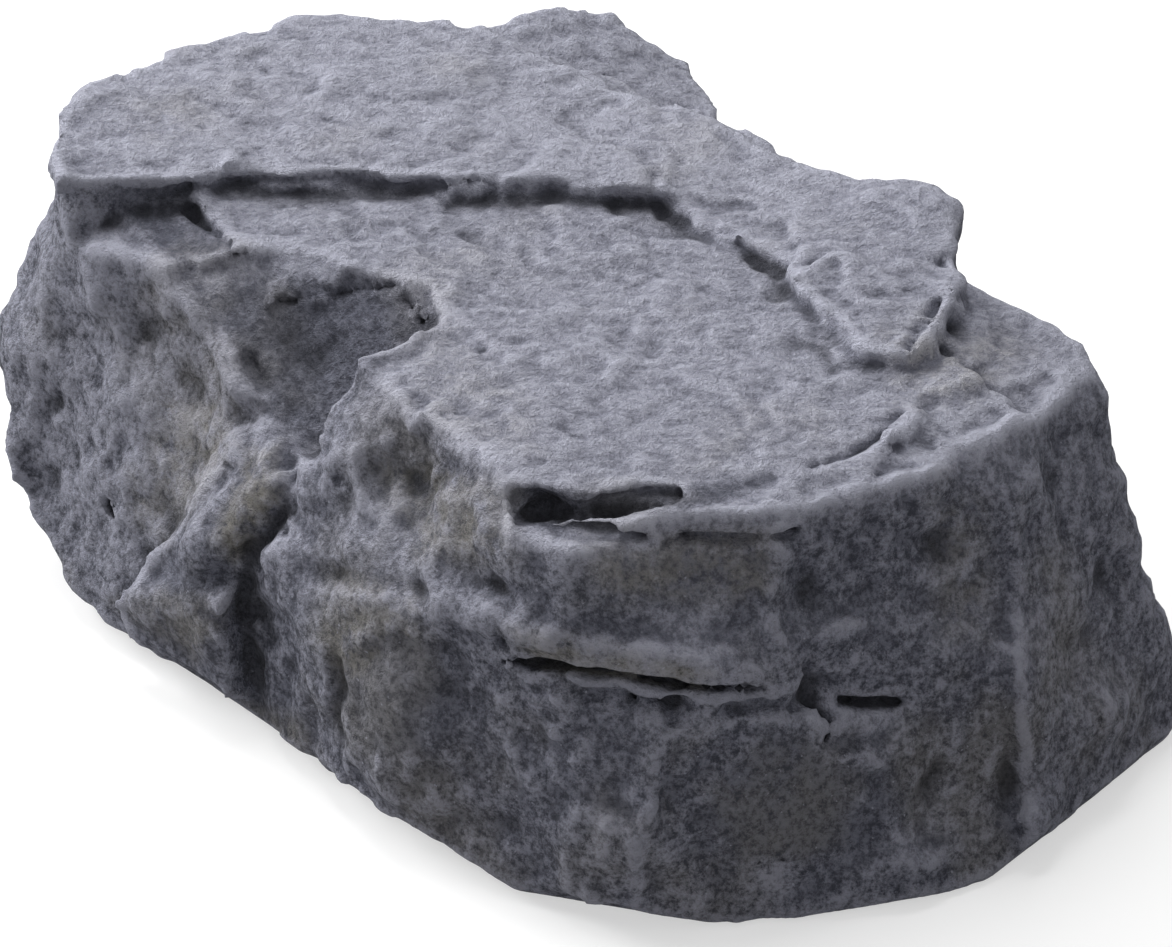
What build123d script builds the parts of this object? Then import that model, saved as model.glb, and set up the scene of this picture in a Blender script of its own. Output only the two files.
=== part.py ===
"""Hide-a-key rock: a cast slate stone with a key compartment let into its base.

Millimetres, +Z up. The origin is on the ground plane, under the middle of the stone.
+X runs along the stone's length and +Y across it. The stone rests on its flat base at Z = 0,
and the compartment opens downward through that base.
"""
from build123d import *
from math import cos, hypot, radians, sin
import os

# ---------------------------------------------------------------- driving dimensions: the stone
rock_length = 102.0
rock_width = 72.0
rock_height = 40.0
bed_dip = 2.0  # degrees, the slate beds fall toward the right-hand end
bed_dip_bearing = -18.0  # degrees from +X
top_bed_depth = 2.0  # thickness of the highest slate layer
bed_rise = 1.6  # from the middle of the highest layer up to its left-hand end
ledge_drop = 0.9  # how far the thin layer at the right-hand end lies below the middle one
knob_drop = 2.3  # the same for the knob at the back
corner_chip_depth = 1.6
crack_level = 22.0  # the bedding crack across the front, over the origin
crack_gape = 1.8  # its height at the mouth
slot_drop = 1.8  # the thin open slot under the front rim, below the middle layer
slot_gape = 1.2

# ---------------------------------------------------------------- driving dimensions: the key space
cavity_length = 58.0  # takes a house key 57 long
cavity_width = 26.0
cavity_depth = 10.0
cavity_corner = 3.0
wall = 1.6  # walls and ceiling of the moulded tub
ledge_width = 2.5  # step round the mouth that the door's seal closes against
flange_thickness = 4.0
flange_corner = 4.0
flange_recess = 0.8  # height of the flange's face above the ground
flange_edge = 0.4  # chamfer round the flange's face
compartment_x = 3.0  # middle of the tub, a little off the middle of the stone
compartment_y = -2.5
bedding_clearance = 0.3  # round the tub in the casting
gasket_thickness = 0.8
gasket_inset = 0.5  # gasket clear of the flange's edge and of the tub's wall
pad_thickness = 1.5
pad_inset = 1.0

# ---------------------------------------------------------------- driving dimensions: door and hinge
door_thickness = 2.0
door_gap = 0.4  # between the door's edge and the flange
hinge_end_gap = 0.8  # the same at the hinge, where the door's edge has to swing past the flange
barrel_radius = 1.5
barrel_gap = 0.3
hinge_wall = 1.2  # of the flange, outside the hinge pocket
hinge_rise = 1.1  # axis above the door's outer face
pin_diameter = 1.5
pin_clearance = 0.05  # radial, door knuckle on pin
ear_clearance = 0.02  # radial, pin in the tub's ears
knuckle_length = 16.0
knuckle_gap = 0.3
ear_length = 4.0
seal_thickness = 0.7
seal_width = 1.2
seal_gap = 0.1
skirt_thickness = 1.2  # the door's inner rim, which grips in the cavity's mouth
skirt_height = 2.2
skirt_clearance = 0.2
lip_width = 12.0
lip_length = 1.8
lip_thickness = 1.2
notch_width = 16.0  # fingernail notch in the flange, beyond the lip
notch_length = 3.2
notch_depth = 2.2
notch_corner = 1.5
groove_count = 3
groove_pitch = 2.4
groove_width = 1.0
groove_depth = 0.4

# ---------------------------------------------------------------- driving dimensions: screws
screw_inset = 3.4  # from the flange's edges
screw_shank = 2.2
screw_head = 4.2
screw_length = 9.0
screw_point = 1.4
screw_clearance = 0.05  # radial, everywhere round the screw
cross_length = 2.4
cross_width = 0.6
cross_depth = 0.7

# ---------------------------------------------------------------- worked out: levels above the ground
door_top = flange_recess + door_thickness
ledge_level = door_top + seal_thickness + seal_gap
cavity_top = ledge_level + cavity_depth
tub_top = cavity_top + wall
flange_top = flange_recess + flange_thickness
gasket_top = flange_top + gasket_thickness
hinge_level = flange_recess + hinge_rise

# ---------------------------------------------------------------- worked out: outlines round the tub's middle
tub_length = cavity_length + 2 * wall
tub_width = cavity_width + 2 * wall
mouth_length = cavity_length + 2 * ledge_width
mouth_width = cavity_width + 2 * ledge_width
mouth_corner = cavity_corner + ledge_width
flange_border = 2 * barrel_radius + barrel_gap + hinge_wall
flange_length = mouth_length + 2 * flange_border
flange_width = mouth_width + 2 * flange_border
hinge_x = -mouth_length / 2 - barrel_radius
pin_length = knuckle_length + 2 * knuckle_gap + 2 * ear_length
screw_x = flange_length / 2 - screw_inset
screw_y = flange_width / 2 - screw_inset


def bed(level):
    """A bedding plane of the slate, met at this height over the origin."""
    fall, toward = radians(bed_dip), radians(bed_dip_bearing)
    upward = (sin(fall) * cos(toward), sin(fall) * sin(toward), cos(fall))
    return Plane(origin=(0, 0, level), z_dir=upward)


def cleavage(bearing, lean, share, about=(0, 0), length=rock_length, width=rock_width):
    """A cleaved side. It looks along the bearing, leans in toward the top by the lean, and meets the
    ground at a share of the reach that an oval of this length and width has along the bearing."""
    toward, back = radians(bearing), radians(lean)
    reach = share * hypot(length / 2 * cos(toward), width / 2 * sin(toward))
    outward = (cos(toward) * cos(back), sin(toward) * cos(back), sin(back))
    foot = (about[0] + reach * cos(toward), about[1] + reach * sin(toward), 0)
    return Plane(origin=foot, z_dir=outward)


def flake(outline, floor):
    """What breaks away inside an outline, given in shares of the stone's half length and half width,
    down to a sloping floor."""
    corners = [(x * rock_length / 2, y * rock_width / 2) for x, y in outline]
    with BuildPart() as piece:
        with BuildSketch():
            Polygon(*corners, align=None)
        extrude(amount=2 * rock_height)
        split(bisect_by=floor, keep=Keep.TOP)
    return piece.part


def crack(outline, mouth_level, gape):
    """An open wedge along the beds inside an outline. Its roof follows the bed, and its floor falls
    toward the near corner of the stone."""
    with BuildPart() as piece:
        add(flake(outline, bed(mouth_level - gape)))
        split(bisect_by=bed(mouth_level), keep=Keep.BOTTOM)
    return piece.part


def pyramids(outline, peak):
    """Two pyramids base to base: one has its top at the peak, the other is taller, on the far side of the
    outline. Corners are given in shares of the stone's half length, half width and height."""
    rim = [Vector(x * rock_length / 2, y * rock_width / 2, z * rock_height) for x, y, z in outline]
    top = Vector(peak[0] * rock_length / 2, peak[1] * rock_width / 2, peak[2] * rock_height)
    middle = sum(rim, Vector(0, 0, 0)) / len(rim)
    sides = [(rim[i - 1], rim[i], tip) for tip in (top, middle * 3 - top * 2) for i in range(len(rim))]
    return Solid(Shell([Face(Wire.make_polygon(side)) for side in sides]))


def level(height):
    """The horizontal plane at this height, round the middle of the key tub."""
    return Plane(origin=(compartment_x, compartment_y, height))


hinge_plane = Plane(origin=(compartment_x + hinge_x, compartment_y, hinge_level), z_dir=(0, -1, 0),
                    x_dir=(1, 0, 0))


# ---------------------------------------------------------------- the stone: cleaved sides
# bearing, lean, share of the reach
front_sides = [
    (-82, 10, 1.03),  # low bulge in front
    (-62, 12, 1.09),  # front facet
    (-43, 23, 1.13),  # facet across the near corner
    (-23, 3, 0.99),  # steep foot of the near corner
]
right_sides = [
    (10, 17, 1.00),
    (22, 18, 1.07),
    (60, 15, 1.08),
    (78, 17, 1.00),
]
back_sides = [
    (92, 14, 0.93),
    (125, 12, 1.00),
]
left_sides = [
    (-160, 20, 1.30),  # upper part of the left end
    (-114, 17, 1.30),  # its blunt front corner
    (172, 6, 1.06),
    (-160, -27, 0.96),  # undercut of the left end
    (168, -26, 0.88),
]
foot_bevels = [
    (-125, -32, 1.11),
    (-92, -46, 0.90),
    (-60, -50, 0.99),
    (-30, -42, 0.95),
    (5, -36, 0.94),
    (50, -36, 1.06),
    (95, -44, 0.80),
    (135, -44, 0.84),
]

top_level = rock_height - bed_rise
middle_level = top_level - top_bed_depth
right_level = middle_level - ledge_drop

with BuildPart() as stone:
    with BuildSketch():
        Rectangle(rock_length, rock_width)
    extrude(amount=rock_height)
    split(bisect_by=bed(middle_level), keep=Keep.BOTTOM)
    for bearing, lean, share in front_sides + right_sides + back_sides + left_sides + foot_bevels:
        split(bisect_by=cleavage(bearing, lean, share), keep=Keep.BOTTOM)

# the highest layer: ragged along its front ledge, overhanging a little at the left-hand end
top_outline = [
    (-0.93, -0.57), (-0.86, -0.67), (-0.75, -0.74), (-0.64, -0.60), (-0.62, -0.42),
    (-0.46, -0.20), (-0.27, 0.02), (-0.11, 0.25), (0.04, 0.24), (0.22, 0.23), (0.36, 0.16),
    (0.49, 0.09), (0.55, 0.17), (0.50, 0.35), (0.46, 0.52), (0.34, 0.68), (0.25, 0.72), (0.04, 0.60),
    (-0.23, 0.62), (-0.46, 0.57), (-0.68, 0.51), (-0.92, 0.20), (-0.985, -0.10), (-0.985, -0.40),
]
with BuildPart() as top_layer:
    add(flake(top_outline, bed(middle_level)))
    split(bisect_by=bed(top_level), keep=Keep.BOTTOM)
    split(bisect_by=Plane.XY.offset(rock_height), keep=Keep.BOTTOM)

# the knob behind the top layer, at the left of the back
knob_outline = [
    (-0.33, 0.30), (-0.36, 0.86), (-0.52, 1.0), (-0.70, 1.0), (-0.79, 0.76), (-0.84, 0.30),
]
with BuildPart() as knob:
    with BuildSketch():
        Polygon(*[(x * rock_length / 2, y * rock_width / 2) for x, y in knob_outline], align=None)
    extrude(amount=rock_height)
    split(bisect_by=Plane(origin=(-0.7 * rock_length / 2, 0.9 * rock_width / 2, middle_level - knob_drop),
                          z_dir=(0.16, 0.08, 1)), keep=Keep.BOTTOM)
    for bearing, lean, share in [(92, -40, 0.90), (128, -40, 0.95), (150, -30, 0.85)]:
        split(bisect_by=cleavage(bearing, lean, share), keep=Keep.BOTTOM)

# what has flaked away
left_facet = flake(
    [(-1.3, -1.5), (-1.3, -0.3), (-0.2, -0.3), (-0.23, -0.76), (-0.44, -0.95), (-0.55, -1.05),
     (-0.55, -1.5)],
    cleavage(-88, 16, 0.93),
)
shoulder = flake(
    [(-0.55, -1.5), (-0.50, -0.9), (-0.23, -0.5), (0.40, -0.5), (0.40, -1.5)],
    cleavage(-98, 26, 1.17),
)
rim_chip = flake(
    [(-0.72, -0.95), (-0.50, -0.56), (-0.17, -0.36), (-0.10, -0.43), (-0.06, -0.60), (-0.10, -0.74),
     (-0.28, -0.90)],
    Plane(origin=(-0.28 * rock_length / 2, -0.75 * rock_width / 2, 0.68 * rock_height),
          z_dir=(0.24, -0.57, 0.78)),
)
corner_chip = flake(
    [(-0.80, -0.76), (-0.66, -0.52), (-0.44, -0.57), (-0.54, -0.74), (-0.74, -0.95)],
    Plane(origin=(-0.60 * rock_length / 2, -0.66 * rock_width / 2, middle_level - corner_chip_depth),
          z_dir=(-0.1, -0.30, 1)),
)
right_step = flake(
    [(0.40, 0.66), (0.47, 0.34), (0.50, 0.26), (0.72, 0.24), (1.1, 0.22), (1.1, 1.0), (0.36, 1.0)],
    bed(right_level),
)
front_crack = crack(
    [(0.36, -0.88), (0.58, -0.60), (0.79, -0.24), (1.2, -0.34), (0.6, -1.2), (0.36, -1.2)],
    crack_level, crack_gape,
)
rim_slot = crack(
    [(0.36, -0.75), (0.50, -0.62), (0.64, -0.34), (0.90, -0.40), (0.50, -1.1), (0.36, -1.1)],
    middle_level - slot_drop, slot_gape,
)

# shallow scars in the sides, each cleaved at its own angle
corner_facet = flake(
    [(0.60, -0.50), (1.2, -0.50), (1.2, -0.12), (0.97, -0.05), (0.72, 0.22)], cleavage(-14, 18, 0.968),
)
front_scar = flake([(-0.24, -1.3), (-0.20, -0.7), (0.04, -0.7), (0.07, -1.3)], cleavage(-104, 4, 0.94))
near_scar = flake(
    [(0.66, -1.3), (0.66, -0.75), (0.80, -0.35), (1.2, -0.35), (1.2, -1.3)], cleavage(-36, 8, 0.965),
)
back_scar = flake([(-0.38, 0.5), (-0.30, 1.3), (0.25, 1.3), (0.18, 0.5)], cleavage(97, 6, 0.82))
back_left_scar = flake([(-0.93, 0.30), (-0.60, 0.45), (-0.64, 1.3), (-1.3, 1.3)], cleavage(140, 4, 1.02))
left_scar = flake([(-1.2, -0.16), (-0.82, -0.05), (-0.85, 0.42), (-1.2, 0.48)], cleavage(176, 2, 0.955))

# what swells out of the front: the corners round each form, and its peak
twig = pyramids(
    [(-0.27, -0.76, 0.66), (-0.40, -0.82, 0.44), (-0.45, -0.90, 0.24), (-0.37, -0.93, 0.14),
     (-0.27, -0.95, 0.16), (-0.19, -0.92, 0.42), (-0.16, -0.86, 0.58), (-0.22, -0.76, 0.67)],
    (-0.30, -0.96, 0.42),
)
low_bulge = pyramids(
    [(0.06, -0.96, 0.38), (0.23, -0.90, 0.51), (0.40, -0.90, 0.35), (0.46, -0.92, 0.20),
     (0.32, -0.97, 0.06), (0.15, -1.00, 0.06), (0.07, -1.00, 0.18)],
    (0.22, -1.0, 0.34),
)
crack_lip = pyramids(
    [(0.12, -0.87, 0.63), (0.35, -0.85, 0.64), (0.53, -0.79, 0.67), (0.68, -0.62, 0.60),
     (0.64, -0.67, 0.57), (0.54, -0.81, 0.56), (0.36, -0.87, 0.55), (0.20, -0.90, 0.56)],
    (0.48, -0.87, 0.60),
)

with BuildPart() as rock:
    add(stone.part)
    for flaw in (left_facet, shoulder, right_step):
        add(flaw, mode=Mode.SUBTRACT)
    for form in (twig, low_bulge, crack_lip):
        add(form)
    for scar in (front_scar, corner_facet, near_scar, back_scar, back_left_scar, left_scar):
        add(scar, mode=Mode.SUBTRACT)
    add(top_layer.part)
    add(knob.part)
    for flaw in (rim_chip, corner_chip, front_crack, rim_slot):
        add(flaw, mode=Mode.SUBTRACT)
    # the recess for the flange and its gasket, and the deeper pocket for the tub
    with BuildSketch(level(0)):
        RectangleRounded(flange_length + 2 * bedding_clearance, flange_width + 2 * bedding_clearance,
                         flange_corner + bedding_clearance)
    extrude(amount=gasket_top, mode=Mode.SUBTRACT)
    with BuildSketch(level(gasket_top)):
        RectangleRounded(tub_length + 2 * bedding_clearance, tub_width + 2 * bedding_clearance,
                         cavity_corner + wall + bedding_clearance)
    extrude(amount=tub_top + bedding_clearance - gasket_top, mode=Mode.SUBTRACT)
    with BuildSketch(level(gasket_top)):
        with GridLocations(2 * screw_x, 2 * screw_y, 2, 2):
            Circle(screw_shank / 2 + screw_clearance)
    extrude(amount=flange_recess + screw_length + bedding_clearance - gasket_top, mode=Mode.SUBTRACT)

# ---------------------------------------------------------------- the moulded tub
with BuildPart() as tub:
    with BuildSketch(level(flange_recess)):
        RectangleRounded(flange_length, flange_width, flange_corner)
    extrude(amount=flange_thickness)
    chamfer(tub.faces().sort_by(Axis.Z)[0].edges(), flange_edge)
    with BuildSketch(level(flange_top)):
        RectangleRounded(tub_length, tub_width, cavity_corner + wall)
    extrude(amount=tub_top - flange_top)
    with BuildSketch(level(ledge_level)):
        RectangleRounded(cavity_length, cavity_width, cavity_corner)
    extrude(amount=cavity_depth, mode=Mode.SUBTRACT)
    with BuildSketch(level(flange_recess)):
        RectangleRounded(mouth_length, mouth_width, mouth_corner)
    extrude(amount=ledge_level - flange_recess, mode=Mode.SUBTRACT)
    # the hinge pocket, open downward and toward the mouth, between the two ears
    with BuildSketch(hinge_plane):
        Circle(barrel_radius + barrel_gap)
        with Locations((-barrel_radius - barrel_gap, -hinge_level)):
            Rectangle(2 * barrel_radius + barrel_gap, hinge_level, align=(Align.MIN, Align.MIN))
        Rectangle(barrel_radius + barrel_gap, barrel_radius + barrel_gap, align=(Align.MIN, Align.MIN))
    extrude(amount=knuckle_length / 2 + knuckle_gap, both=True, mode=Mode.SUBTRACT)
    for side in (1, -1):
        with BuildSketch(hinge_plane.offset(side * (knuckle_length / 2 + knuckle_gap))):
            Circle(barrel_radius)
        extrude(amount=side * ear_length)
    with BuildSketch(hinge_plane):
        Circle(pin_diameter / 2 + ear_clearance)
    extrude(amount=pin_length / 2, both=True, mode=Mode.SUBTRACT)
    # the fingernail notch
    with BuildSketch(level(flange_recess)):
        with Locations((mouth_length / 2 + notch_length / 2, 0)):
            RectangleRounded(notch_length, notch_width, notch_corner)
        with Locations((mouth_length / 2, 0)):
            Rectangle(notch_length, notch_width)
    extrude(amount=notch_depth, mode=Mode.SUBTRACT)
    with Locations(Plane(origin=level(flange_recess).origin, z_dir=(0, 0, -1))):
        with GridLocations(2 * screw_x, 2 * screw_y, 2, 2):
            CounterSinkHole(screw_shank / 2 + screw_clearance, screw_head / 2 + screw_clearance,
                            flange_thickness, counter_sink_angle=90)

with BuildPart() as gasket:
    with BuildSketch(level(flange_top)):
        RectangleRounded(flange_length - 2 * gasket_inset, flange_width - 2 * gasket_inset,
                         flange_corner - gasket_inset)
        RectangleRounded(tub_length + 2 * gasket_inset, tub_width + 2 * gasket_inset,
                         cavity_corner + wall + gasket_inset, mode=Mode.SUBTRACT)
        with GridLocations(2 * screw_x, 2 * screw_y, 2, 2):
            Circle(screw_shank / 2 + screw_clearance, mode=Mode.SUBTRACT)
    extrude(amount=gasket_thickness)

with BuildPart() as pad:
    with BuildSketch(level(cavity_top - pad_thickness)):
        RectangleRounded(cavity_length - 2 * pad_inset, cavity_width - 2 * pad_inset,
                         cavity_corner - pad_inset)
    extrude(amount=pad_thickness)

# ---------------------------------------------------------------- the door, its seal and its pin
door_start = -mouth_length / 2 + hinge_end_gap
door_end = mouth_length / 2 - door_gap

with BuildPart() as door:
    with BuildSketch(level(flange_recess)):
        with Locations(((door_start + door_end) / 2, 0)):
            RectangleRounded(door_end - door_start, mouth_width - 2 * door_gap, mouth_corner - door_gap)
    extrude(amount=door_thickness)
    with BuildSketch(level(door_top)):
        RectangleRounded(cavity_length - 2 * skirt_clearance, cavity_width - 2 * skirt_clearance,
                         cavity_corner - skirt_clearance)
        RectangleRounded(cavity_length - 2 * (skirt_clearance + skirt_thickness),
                         cavity_width - 2 * (skirt_clearance + skirt_thickness),
                         cavity_corner - skirt_clearance - skirt_thickness, mode=Mode.SUBTRACT)
    extrude(amount=skirt_height)
    chamfer(door.faces().sort_by(Axis.Z)[-1].outer_wire().edges(), skirt_clearance)
    # the knuckle and the web that joins it to the plate
    with BuildSketch(hinge_plane):
        Circle(barrel_radius)
        with Locations((0, flange_recess - hinge_level)):
            Rectangle(door_start - hinge_x + door_thickness, door_thickness,
                      align=(Align.MIN, Align.MIN))
        Circle(pin_diameter / 2 + pin_clearance, mode=Mode.SUBTRACT)
    extrude(amount=knuckle_length / 2, both=True)
    # the lip for a fingernail, and the grip grooves beside it
    with BuildSketch(level(flange_recess)):
        with Locations((door_end + lip_length / 2, 0)):
            RectangleRounded(lip_length, lip_width, lip_length / 3)
        with Locations((door_end, 0)):
            Rectangle(lip_length, lip_width)
    extrude(amount=lip_thickness)
    with BuildSketch(level(flange_recess)):
        for row in range(groove_count):
            with Locations((door_end - (row + 1) * groove_pitch, 0)):
                SlotOverall(lip_width, groove_width, rotation=90)
    extrude(amount=groove_depth, mode=Mode.SUBTRACT)

with BuildPart() as seal:
    with BuildSketch(level(door_top)):
        seal_inset = (ledge_width - hinge_end_gap - seal_width) / 2
        RectangleRounded(cavity_length + 2 * (seal_inset + seal_width),
                         cavity_width + 2 * (seal_inset + seal_width),
                         cavity_corner + seal_inset + seal_width)
        RectangleRounded(cavity_length + 2 * seal_inset, cavity_width + 2 * seal_inset,
                         cavity_corner + seal_inset, mode=Mode.SUBTRACT)
    extrude(amount=seal_thickness)

with BuildPart() as pin:
    with BuildSketch(hinge_plane):
        Circle(pin_diameter / 2)
    extrude(amount=pin_length / 2, both=True)

# ---------------------------------------------------------------- the four screws
with BuildPart() as screw:
    with BuildSketch(Plane.XZ):
        with BuildLine():
            Polyline((0, 0), (screw_head / 2, 0), (screw_shank / 2, (screw_head - screw_shank) / 2),
                     (screw_shank / 2, screw_length - screw_point), (0, screw_length), close=True)
        make_face()
    revolve(axis=Axis.Z)
    with BuildSketch():
        Rectangle(cross_length, cross_width)
        Rectangle(cross_width, cross_length)
    extrude(amount=cross_depth, mode=Mode.SUBTRACT)

with BuildPart() as screws:
    with Locations(level(flange_recess)):
        with GridLocations(2 * screw_x, 2 * screw_y, 2, 2):
            add(screw.part)

# ---------------------------------------------------------------- write one file for each piece
pieces = {
    "rock_shell": rock.part,
    "key_tub": tub.part,
    "tub_gasket": gasket.part,
    "tub_screws": screws.part,
    "foam_liner": pad.part,
    "hinge_pin": pin.part,
    "compartment_door": door.part,
    "door_seal": seal.part,
}
os.makedirs("parts", exist_ok=True)
for name, piece in pieces.items():
    piece.label = name
    export_step(piece, f"parts/{name}.step")
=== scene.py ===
"""A hollow slate rock that hides a key: its weathered skin, finishes, light and the photograph's view.

The stone's skin is carved in a field of distances, in millimetres: every point of a fine grid says how
far it is inside or outside the stone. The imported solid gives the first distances. Noise makes them rough,
and the marks of the photograph are cut and raised in them. The skin is then drawn through the points where
the distance is nought.
"""

import math

import bmesh
import bpy
import numpy as np
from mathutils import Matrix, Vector
from mathutils.bvhtree import BVHTree

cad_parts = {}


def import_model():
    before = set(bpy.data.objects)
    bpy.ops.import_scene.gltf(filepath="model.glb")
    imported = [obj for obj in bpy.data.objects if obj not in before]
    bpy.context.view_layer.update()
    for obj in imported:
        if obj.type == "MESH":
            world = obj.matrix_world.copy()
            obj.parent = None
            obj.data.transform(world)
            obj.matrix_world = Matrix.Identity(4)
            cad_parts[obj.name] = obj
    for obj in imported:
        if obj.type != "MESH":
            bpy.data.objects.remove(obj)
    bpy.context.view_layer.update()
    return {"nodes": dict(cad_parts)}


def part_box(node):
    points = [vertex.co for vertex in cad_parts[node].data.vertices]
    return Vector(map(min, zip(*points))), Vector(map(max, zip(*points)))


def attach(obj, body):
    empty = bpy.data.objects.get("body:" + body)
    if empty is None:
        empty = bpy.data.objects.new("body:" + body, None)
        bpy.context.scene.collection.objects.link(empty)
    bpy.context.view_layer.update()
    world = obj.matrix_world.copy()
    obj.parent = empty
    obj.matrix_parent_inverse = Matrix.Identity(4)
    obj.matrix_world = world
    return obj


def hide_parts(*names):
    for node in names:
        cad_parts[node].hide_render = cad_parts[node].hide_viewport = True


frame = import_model()

MM = 0.001  # metres in a millimetre

# The photograph's view ----------------------------------------------------------------------------
PHOTO_WIDTH, PHOTO_HEIGHT = 1172, 947
AXIS_PIXEL = (600, 480)  # where the lens points
VIEW_TARGET = np.array((5.0, -6.5, 20.0))  # what it points at, mm
VIEW_AZIMUTH, VIEW_ELEVATION = math.radians(45), math.radians(33)
VIEW_DISTANCE = 420.0
PIXELS_PER_MM = 11.76  # at the target
SENSOR_WIDTH = 36.0
NEAREST, FARTHEST = 0.01, 20.0  # what the lens shows, m

TOWARDS_CAMERA = np.array(
    (
        math.cos(VIEW_ELEVATION) * math.sin(VIEW_AZIMUTH),
        -math.cos(VIEW_ELEVATION) * math.cos(VIEW_AZIMUTH),
        math.sin(VIEW_ELEVATION),
    )
)
VIEW_RIGHT = np.array((math.cos(VIEW_AZIMUTH), math.sin(VIEW_AZIMUTH), 0.0))
VIEW_UP = np.cross(TOWARDS_CAMERA, VIEW_RIGHT)
EYE = VIEW_TARGET + VIEW_DISTANCE * TOWARDS_CAMERA
FOCAL_PIXELS = PIXELS_PER_MM * VIEW_DISTANCE


def pixel_ray(pixel):
    """The direction from the eye through a pixel of the photograph."""
    right = (pixel[0] - AXIS_PIXEL[0]) / FOCAL_PIXELS
    down = (pixel[1] - AXIS_PIXEL[1]) / FOCAL_PIXELS
    ray = -TOWARDS_CAMERA + right * VIEW_RIGHT - down * VIEW_UP
    return ray / np.linalg.norm(ray)


def to_pixels(points):
    """The pixels of the photograph at which points of the stone are seen."""
    from_eye = points - EYE
    depth = -from_eye @ TOWARDS_CAMERA
    right = FOCAL_PIXELS * (from_eye @ VIEW_RIGHT) / depth
    up = FOCAL_PIXELS * (from_eye @ VIEW_UP) / depth
    return np.stack((AXIS_PIXEL[0] + right, AXIS_PIXEL[1] - up), axis=-1)


# The grid of distances ----------------------------------------------------------------------------
STEP = 0.52  # between grid points
MARGIN = 3.0  # of grid round the stone
REACH = 3.5  # how far from the skin distances are measured
SEED = 7


def smooth_step(low, high, value):
    """From 0 at low to 1 at high, with no corner at either end."""
    t = np.clip((value - low) / (high - low), 0.0, 1.0)
    return t * t * (3.0 - 2.0 * t)


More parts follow.
